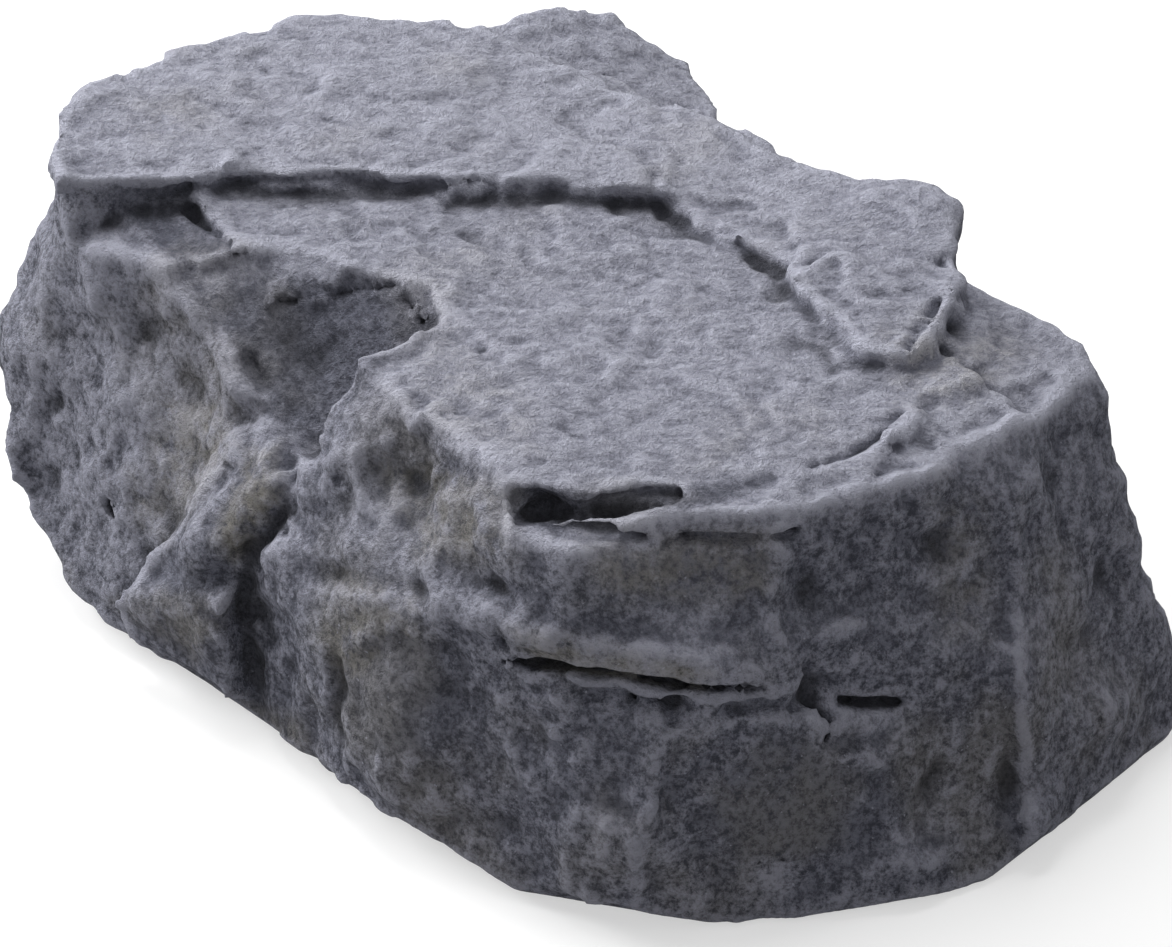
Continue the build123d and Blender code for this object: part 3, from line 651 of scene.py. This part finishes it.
# stains of bare dark stone, of warmth and of pale wear: the kind, the outline, how strong it is, and how
# soft its edge is in pixels
BARE, WARM, WORN = range(3)
UNDER_CHIPS = [(205, 300), (270, 285), (400, 286), (435, 330)]
UNDER_CHIPS += [(400, 345), (320, 425), (285, 428), (255, 390)]
TOP_LAYER = [(110, 60), (300, 20), (500, 30), (780, 160), (860, 180)]
TOP_LAYER += [(800, 230), (640, 170), (420, 150), (120, 170)]
LEFT_FACET = [(20, 270), (70, 190), (110, 200), (260, 420)]
LEFT_FACET += [(200, 530), (110, 600), (40, 500), (8, 360)]
RIGHT_FOLD = [(1030, 440), (1050, 600), (1060, 720), (1020, 790)]
RIGHT_FOLD += [(1000, 780), (1030, 700), (1015, 560)]
STAINS = [
    (BARE, UNDER_CHIPS, 0.9, 14),
    (BARE, [(110, 200), (180, 200), (252, 258), (190, 262), (130, 240)], 0.7, 14),
    (BARE, [(330, 640), (400, 640), (440, 650), (470, 700), (440, 760), (360, 740), (335, 700)], 0.7, 18),
    (BARE, [(545, 695), (700, 700), (690, 790), (640, 815), (560, 800)], 0.3, 18),
    (BARE, [(710, 790), (760, 735), (850, 760), (920, 790), (860, 850), (740, 880), (700, 820)], 0.7, 18),
    (BARE, [(590, 540), (770, 520), (770, 600), (620, 600)], 0.4, 16),
    (BARE, [(800, 520), (1000, 480), (1010, 640), (900, 660), (800, 620)], 0.1, 22),
    (BARE, [(1060, 360), (1100, 420), (1150, 600), (1160, 720), (1080, 790), (1050, 600)], 0.1, 22),
    (BARE, [(130, 640), (215, 600), (300, 700), (330, 780), (220, 690)], 0.4, 18),
    (BARE, [(515, 485), (640, 490), (770, 480), (700, 508), (600, 515), (560, 532), (515, 528)], 0.9, 8),
    (WORN, [(530, 700), (760, 700), (700, 760), (600, 790), (540, 740)], 0.4, 20),
    (WORN, [(1050, 380), (1120, 480), (1160, 620), (1150, 740), (1060, 780), (1040, 600)], 0.35, 26),
    (BARE, [(275, 430), (285, 500), (240, 560), (200, 610), (130, 600), (215, 490)], 0.45, 16),
    (WARM, [(160, 400), (225, 400), (235, 445), (180, 520), (150, 480)], 0.9, 20),
    (WARM, [(130, 470), (170, 480), (165, 540), (135, 520)], 0.8, 16),
    (WARM, [(245, 450), (285, 440), (280, 500), (235, 560), (215, 540)], 0.9, 16),
    (WARM, [(110, 600), (160, 590), (235, 605), (195, 660)], 0.5, 14),
    (WARM, [(365, 445), (440, 460), (515, 490), (510, 560), (420, 560), (390, 520)], 0.7, 26),
    (WARM, [(330, 560), (420, 590), (430, 640), (345, 690), (310, 640)], 0.6, 20),
    (WARM, [(580, 540), (770, 530), (770, 600), (600, 600)], 0.6, 22),
    (WARM, [(500, 625), (620, 648), (720, 672), (700, 690), (540, 668)], 0.8, 12),
    (WARM, [(430, 330), (520, 380), (540, 450), (430, 430), (410, 380)], 0.5, 26),
    (WARM, [(880, 330), (960, 340), (1000, 330), (1030, 350), (970, 400), (900, 400)], 0.8, 20),
    (WARM, [(930, 500), (985, 500), (990, 640), (940, 640)], 0.4, 20),
    (WARM, [(700, 780), (800, 740), (850, 800), (740, 880)], 0.25, 24),
    (WARM, [(120, 100), (190, 90), (220, 120), (150, 140)], 0.5, 20),
    (WARM, [(230, 700), (300, 720), (330, 780), (260, 730)], 0.5, 16),
    (WORN, TOP_LAYER, 0.35, 30),
    (WORN, [(300, 440), (400, 440), (365, 480), (360, 540), (330, 500)], 0.45, 14),
    (WORN, [(390, 560), (450, 590), (540, 620), (700, 655), (640, 660), (500, 630), (400, 600)], 0.5, 14),
    (WORN, [(105, 190), (150, 240), (200, 330), (262, 415), (240, 420), (180, 330), (130, 250)], 0.5, 10),
    (WORN, [(560, 800), (660, 840), (720, 905), (650, 910), (560, 860)], 0.3, 20),
    (WORN, [(880, 440), (1010, 400), (1065, 345), (1070, 380), (1000, 440), (900, 470)], 0.4, 12),
    (WORN, LEFT_FACET, 0.75, 24),
    (WORN, RIGHT_FOLD, 0.1, 16),
]


def stains(places, normals):
    """How bare, warm and worn each point of the skin is, from the outlines as the photograph shows them."""
    seen = to_pixels(places)
    shown = smooth_step(0.0, GRAZING, ((EYE - places) * normals).sum(axis=-1) / VIEW_DISTANCE)
    tone = np.zeros((len(places), 3))
    for kind, outline, strength, soft in STAINS:
        within, away = polygon(seen, outline)
        depth = np.where(within, away, -away)
        tone[:, kind] = np.maximum(tone[:, kind], strength * shown * smooth_step(-soft, soft, depth))
    return tone


def biggest_piece(quads, count):
    """Which faces belong to the largest joined piece of the skin."""
    label = np.arange(count)
    settled = False
    while not settled:
        lowest = label[quads].min(axis=1)
        spread = label.copy()
        for corner in quads.T:
            np.minimum.at(spread, corner, lowest)
        spread = spread[spread]
        settled = bool((spread == label).all())
        label = spread
    names, sizes = np.unique(label[quads[:, 0]], return_counts=True)
    return label[quads[:, 0]] == names[sizes.argmax()]


def rock_mesh(name):
    """The carved skin as a mesh, with two colour attributes.

    One is the weather and painted shade: the edges, the hollows, which the material darkens as painted shade,
    and the upward faces. The other is the tone of the stains.
    """
    places, quads = grid.surface(stone)
    quads = quads[biggest_piece(quads, len(places))]
    used, quads = np.unique(quads, return_inverse=True)
    places, quads = places[used], quads.reshape(-1, 4)
    mesh = bpy.data.meshes.new(name)
    mesh.from_pydata((places * MM).tolist(), [], quads.tolist())
    mesh.update()
    slopes = np.gradient(grid.blur(stone, NORMAL_BLUR), STEP)
    normals = np.stack([grid.sample(slope, places) for slope in slopes], axis=-1)
    normals /= np.linalg.norm(normals, axis=-1, keepdims=True)
    solid = np.clip(0.5 - stone / STEP, 0.0, 1.0).astype(np.float32)
    # how much stone lies round a point: less than half on edges, more in hollows, where the far share becomes
    # painted shade
    shares = [grid.sample(grid.blur(solid, reach), places) for reach in (NEAR_SHADE, FAR_SHADE)]
    open_to_air = [np.clip((0.5 - share) * SHADE_GAIN + 0.5, 0, 1) for share in shares]
    weather_and_shade = np.stack((*open_to_air, smooth_step(DUST_STARTS, DUST_FULL, normals[:, 2])), axis=-1)
    for title, colour in (("weather_and_shade", weather_and_shade), ("tone", stains(places, normals))):
        colour = np.concatenate((colour, np.ones((len(places), 1))), axis=-1)
        mesh.attributes.new(title, "FLOAT_COLOR", "POINT").data.foreach_set("color", colour.ravel())
    return mesh


def add(name, mesh):
    """A new object in the scene."""
    thing = bpy.data.objects.new(name, mesh)
    bpy.context.scene.collection.objects.link(thing)
    return thing


def in_recess(place):
    """Whether a place, in metres, is in the block round the compartment."""
    return all(RECESS_LOW[a] < place[a] / MM < RECESS_HIGH[a] for a in range(3))


def flatten_recess(mesh):
    """Joins the many small faces of the compartment's flat walls, and leaves only the rest smooth."""
    shape = bmesh.new()
    shape.from_mesh(mesh)
    for face in shape.faces:
        face.smooth = not in_recess(face.calc_center_median())
    edges = [edge for edge in shape.edges if not any(face.smooth for face in edge.link_faces)]
    verts = [vert for vert in shape.verts if not any(face.smooth for face in vert.link_faces)]
    bmesh.ops.dissolve_limit(shape, angle_limit=FLAT_ANGLE, verts=verts, edges=edges)
    shape.to_mesh(mesh)
    shape.free()


weathered_stone = add("weathered_stone", rock_mesh("weathered_stone"))
flatten_recess(weathered_stone.data)
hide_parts("rock_shell")
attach(weathered_stone, "stone")

# Materials ----------------------------------------------------------------------------------------


class Nodes:
    """A material's node tree, written as calls that give sockets."""

    def __init__(self, name):
        self.material = bpy.data.materials.new(name)
        self.material.use_nodes = True
        self.tree = self.material.node_tree
        self.shader = self.tree.nodes["Principled BSDF"]

    def add(self, kind, *values, **settings):
        """A node, with its settings and with values or links for its first sockets."""
        node = self.tree.nodes.new(kind)
        for name, value in settings.items():
            setattr(node, name, value)
        for socket, value in zip(node.inputs, values):
            self.feed(socket, value)
        return node

    def feed(self, socket, value):
        """A link into a socket where the value is itself a socket, or else its own value."""
        if isinstance(value, bpy.types.NodeSocket):
            self.tree.links.new(value, socket)
        else:
            socket.default_value = value

    def math(self, operation, *values):
        """A sum, a product or the like."""
        return self.add("ShaderNodeMath", *values, operation=operation).outputs[0]

    def sway(self, value, amount):
        """A value round a half turned into one round nought, from minus half an amount to half of it."""
        return self.math("MULTIPLY_ADD", value, amount, -amount / 2)

    def range(self, value, low, high, to_low=0.0, to_high=1.0):
        """A value spread from low..high to another range, held at both ends."""
        given = (value, low, high, to_low, to_high)
        return self.add("ShaderNodeMapRange", *given, interpolation_type="SMOOTHSTEP").outputs[0]

    def mix(self, share, one, two, blend="MIX"):
        """One colour turning into another."""
        node = self.add("ShaderNodeMix", data_type="RGBA", blend_type=blend)
        for socket, value in ((node.inputs["Factor"], share), (node.inputs[6], one), (node.inputs[7], two)):
            self.feed(socket, value)
        return node.outputs[2]

    def channels(self, attribute):
        """The three channels of one of the mesh's colour attributes."""
        colour = self.add("ShaderNodeAttribute", attribute_name=attribute).outputs["Color"]
        return self.add("ShaderNodeSeparateColor", colour).outputs

    def noise(self, size, detail, roughness, stretch=(1, 1, 1), turn=(0, 0, 0)):
        """Noise with lumps of about a size in mm, stretched along the axes of a turned frame."""
        mapping = self.add("ShaderNodeMapping", vector_type="TEXTURE")
        self.feed(mapping.inputs["Vector"], self.add("ShaderNodeTexCoord").outputs["Object"])
        self.feed(mapping.inputs["Rotation"], turn)
        self.feed(mapping.inputs["Scale"], stretch)
        node = self.add("ShaderNodeTexNoise")
        self.feed(node.inputs["Vector"], mapping.outputs[0])
        self.feed(node.inputs["Scale"], 1 / (size * MM))
        self.feed(node.inputs["Detail"], detail)
        self.feed(node.inputs["Roughness"], roughness)
        return node.outputs["Fac"]

    def bump(self, height, depth_mm):
        """A fine relief of about a depth, too fine for the mesh."""
        node = self.add("ShaderNodeBump")
        self.feed(node.inputs["Distance"], depth_mm * MM)
        self.feed(node.inputs["Strength"], 1.0)
        self.feed(node.inputs["Height"], height)
        self.set(Normal=node.outputs[0])

    def set(self, **values):
        """Sockets of the shader, by their names."""
        for name, value in values.items():
            self.feed(self.shader.inputs[name.replace("_", " ")], value)


DEEP_SLATE = (0.040, 0.042, 0.058, 1)
SLATE = (0.150, 0.155, 0.198, 1)
DUST = (0.455, 0.462, 0.550, 1)
TAN = (0.190, 0.176, 0.140, 1)
PALE_TAN = (0.420, 0.400, 0.370, 1)

EDGE_DUST, GRAIN_DUST, CLOUD_DUST, FLECK_DUST = 2.4, 2.6, 0.7, 1.6  # how much each sways the dust
WORN_DUST, BARE_DUST = 0.6, 0.9  # what worn patches gain of it and bare ones lose
SIDE_DUST = 0.46  # the most dust that a side holds
BARE_TOP = 0.8  # how far a bare patch that faces up looks like a side
STRAY_WARMTH = 0.35  # of the warm patches that no stain gives
PALE_WARMTH = 0.6  # how far dust takes on the warm colour
HOLLOW_SHADE = 0.35  # what the deepest hollows keep of their colour under the painted shade
SPECK_PALE, SPECK_DARK = 0.5, 0.6  # how strong the specks are on the sides and on top
SLATE_RELIEF = 1.3

# the spans of a noise or a level over which one look of the slate turns into another
DUST_ON_SIDES, DUST_ON_TOP = (-0.3, 1.0), (-1.0, 0.85)
STRAY_WARM, CLOUDED_WARM = (0.5, 0.7), (0.3, 0.6)
DARK_GRAIN, TAN_GRAIN = (0.36, 0.62), (0.25, 0.55)
PALE_SPECKS, DARK_SPECKS = (0.68, 0.78), (0.22, 0.34)
HOLLOWS = (0.12, 0.42)


def slate():
    """Cast resin painted as slate: dark, dusted pale on what faces up and on worn edges, warm in patches, with
    painted shade darkening the hollows.
    """
    n = Nodes("slate_resin")
    # swell is how open to the air each point is; it drives the painted shade in the hollows
    edge, swell, upward = n.channels("weather_and_shade")
    bare, warmth, worn = n.channels("tone")
    grain = n.noise(size=0.75, detail=4, roughness=0.8)
    fleck = n.noise(size=0.7, detail=4, roughness=0.75, stretch=(2.2, 1.0, 1.0), turn=(0, 0, VIEW_AZIMUTH))
    speck = n.noise(size=0.45, detail=2, roughness=0.5)
    cloud = n.noise(size=3.5, detail=5, roughness=0.7)
    warm = n.noise(size=14.0, detail=3, roughness=0.55, stretch=(1, 1, 1.4))

    # dust lies on raised edges and worn patches, and on top more than on the sides
    patches = n.math("SUBTRACT", n.math("MULTIPLY", worn, WORN_DUST), n.math("MULTIPLY", bare, BARE_DUST))
    dust = n.math("ADD", n.math("ADD", n.sway(grain, GRAIN_DUST), n.sway(edge, EDGE_DUST)), patches)
    dust_side = n.range(n.math("ADD", dust, n.sway(cloud, CLOUD_DUST)), *DUST_ON_SIDES)
    dust_top = n.range(n.math("ADD", dust, n.sway(fleck, FLECK_DUST)), *DUST_ON_TOP)

    # the warm patches
    warm_share = n.math("MULTIPLY", n.range(warm, *STRAY_WARM), STRAY_WARMTH)
    warm_share = n.math("MAXIMUM", warm_share, n.math("MULTIPLY", warmth, n.range(cloud, *CLOUDED_WARM)))

    # the sides, the top and what lies between them
    dark = n.mix(n.range(grain, *DARK_GRAIN), DEEP_SLATE, SLATE)
    dark = n.mix(n.math("MULTIPLY", warm_share, n.range(grain, *TAN_GRAIN)), dark, TAN)
    side = n.mix(n.math("MULTIPLY", dust_side, SIDE_DUST), dark, DUST)
    side = n.mix(n.range(speck, *PALE_SPECKS, 0.0, SPECK_PALE), side, DUST)
    pale = n.mix(n.math("MULTIPLY", warm_share, PALE_WARMTH), DUST, PALE_TAN)
    top = n.mix(dust_top, SLATE, pale)
    top = n.mix(n.range(speck, *DARK_SPECKS, SPECK_DARK, 0.0), top, SLATE)
    clean = n.math("SUBTRACT", 1.0, n.math("MULTIPLY", bare, BARE_TOP))
    colour = n.mix(n.math("MULTIPLY", upward, clean), side, top)

    # painted shade in the hollows: the more stone lies round a point, the darker its colour
    painted_hollow_shade = n.range(swell, *HOLLOWS, HOLLOW_SHADE, 1.0)
    painted_shade = n.add("ShaderNodeCombineColor", painted_hollow_shade, painted_hollow_shade, painted_hollow_shade).outputs[0]
    n.set(Base_Color=n.mix(1.0, colour, painted_shade, "MULTIPLY"), Roughness=0.9, Specular_IOR_Level=0.25)
    n.bump(n.math("ADD", grain, n.math("MULTIPLY", fleck, 0.5)), SLATE_RELIEF)
    return n.material


# each finish: its colour, how rough it is, the size and the depth of its texture in mm, and how metallic
FINISHES = {
    "black_plastic": ((0.018, 0.018, 0.019, 1), 0.5, 0.35, 0.05, 0.0),
    "door_plastic": ((0.024, 0.024, 0.026, 1), 0.45, 0.35, 0.05, 0.0),
    "black_rubber": ((0.012, 0.012, 0.012, 1), 0.8, 0.25, 0.03, 0.0),
    "foam_tape": ((0.05, 0.05, 0.052, 1), 0.9, 0.5, 0.12, 0.0),
    "grey_foam": ((0.14, 0.14, 0.145, 1), 0.95, 0.6, 0.25, 0.0),
    "screw_steel": ((0.55, 0.55, 0.53, 1), 0.35, 0.4, 0.01, 1.0),
    "pin_steel": ((0.55, 0.55, 0.53, 1), 0.3, 0.4, 0.01, 1.0),
}
MARKS_SIZE, MARKS_DARKEN, MARKS_SPAN = 12.0, 0.7, (0.3, 0.7)
SMOOTHER, ROUGHER, WEAR_SPAN = 0.08, 0.1, (0.4, 1.1)  # than the finish, where it is worn and where it isn't


def finish(name, colour, roughness, texture_mm, depth_mm, metallic):
    """Plastic, rubber, foam or steel with a fine texture and faint handling marks."""
    n = Nodes(name)
    grain = n.noise(texture_mm, detail=3, roughness=0.6)
    marks = n.noise(MARKS_SIZE, detail=4, roughness=0.6)
    darker = tuple(MARKS_DARKEN * c for c in colour[:3]) + (1,)
    worn = n.math("MULTIPLY_ADD", marks, 0.5, grain)
    n.set(
        Base_Color=n.mix(n.range(marks, *MARKS_SPAN), darker, colour),
        Roughness=n.range(worn, *WEAR_SPAN, roughness - SMOOTHER, roughness + ROUGHER),
        Metallic=metallic,
    )
    n.bump(grain, depth_mm)
    return n.material


materials = {name: finish(name, *look) for name, look in FINISHES.items()}
materials["slate_resin"] = slate()
weathered_stone.data.materials.clear()
weathered_stone.data.materials.append(materials["slate_resin"])
for node in frame["nodes"].values():
    for slot in node.material_slots:
        name = slot.material.name.split(".")[0]
        if name in materials:
            slot.material = materials[name]

# Floor, light and camera --------------------------------------------------------------------------
FLOOR_HALF = 3.0
FLOOR_DROP = 0.0002  # under the stone
FLOOR_GREY = 0.5  # what the floor sends back; to the eye it is white
SKY_STRENGTH = 0.31

# each lamp: its name, where it hangs, where it points, its side in m and its power in W
LAMPS = (
    ("overhead", (-0.22, 0.12, 0.70), (0, 0, 0), 0.35, 3.7),
    ("left_fill", (-0.62, -0.18, 0.30), (0, 0, 0.02), 0.4, 7.0),
    ("front_fill", (0.60, -0.42, 0.38), (0, 0, 0.02), 0.25, 1.3),
)


def floor():
    """A wide pale floor under the stone."""
    mesh = bpy.data.meshes.new("floor")
    h = FLOOR_HALF
    mesh.from_pydata([(-h, -h, 0), (h, -h, 0), (h, h, 0), (-h, h, 0)], [], [(0, 1, 2, 3)])
    n = Nodes("floor_white")
    n.set(Base_Color=(FLOOR_GREY, FLOOR_GREY, FLOOR_GREY, 1), Roughness=0.9)
    rays = n.add("ShaderNodeLightPath")
    seen = n.math("MAXIMUM", rays.outputs["Is Camera Ray"], rays.outputs["Is Glossy Ray"])
    seen = n.math("MAXIMUM", seen, rays.outputs["Is Transmission Ray"])
    n.set(Emission_Color=(1, 1, 1, 1), Emission_Strength=n.math("MULTIPLY", seen, 1 - FLOOR_GREY))
    mesh.materials.append(n.material)
    thing = add("floor", mesh)
    thing.location.z = -FLOOR_DROP


def lamp(name, place, aim, size, power):
    """A square soft light."""
    light = bpy.data.lights.new(name, "AREA")
    light.shape, light.size, light.energy = "SQUARE", size, power
    thing = add(name, light)
    thing.location = place
    thing.rotation_euler = (Vector(aim) - Vector(place)).to_track_quat("-Z", "Y").to_euler()


def world(strength):
    """An even white sky, as bright as paper where it is seen and dimmer where it only lights."""
    sky = bpy.data.worlds.new("sky")
    sky.use_nodes = True
    tree = sky.node_tree
    rays = tree.nodes.new("ShaderNodeLightPath")
    seen = rays.outputs["Is Camera Ray"]
    for kind in ("Is Glossy Ray", "Is Transmission Ray"):
        either = tree.nodes.new("ShaderNodeMath")
        either.operation = "MAXIMUM"
        tree.links.new(seen, either.inputs[0])
        tree.links.new(rays.outputs[kind], either.inputs[1])
        seen = either.outputs[0]
    level = tree.nodes.new("ShaderNodeMapRange")
    level.inputs["To Min"].default_value = strength
    tree.links.new(seen, level.inputs["Value"])
    tree.links.new(level.outputs[0], tree.nodes["Background"].inputs["Strength"])
    tree.nodes["Background"].inputs["Color"].default_value = (1, 1, 1, 1)
    bpy.context.scene.world = sky


def camera():
    """The photograph's view."""
    lens = bpy.data.cameras.new("photo_view")
    lens.sensor_width = SENSOR_WIDTH
    lens.lens = FOCAL_PIXELS / PHOTO_WIDTH * SENSOR_WIDTH
    lens.shift_x = (PHOTO_WIDTH / 2 - AXIS_PIXEL[0]) / PHOTO_WIDTH
    lens.shift_y = (AXIS_PIXEL[1] - PHOTO_HEIGHT / 2) / PHOTO_WIDTH
    lens.clip_start, lens.clip_end = NEAREST, FARTHEST
    thing = add("photo_view", lens)
    thing.location = EYE * MM
    thing.rotation_euler = Vector(TOWARDS_CAMERA).to_track_quat("Z", "Y").to_euler()
    bpy.context.scene.camera = thing


floor()
world(SKY_STRENGTH)
for look in LAMPS:
    lamp(*look)
camera()
bpy.context.scene.view_settings.view_transform = "Standard"
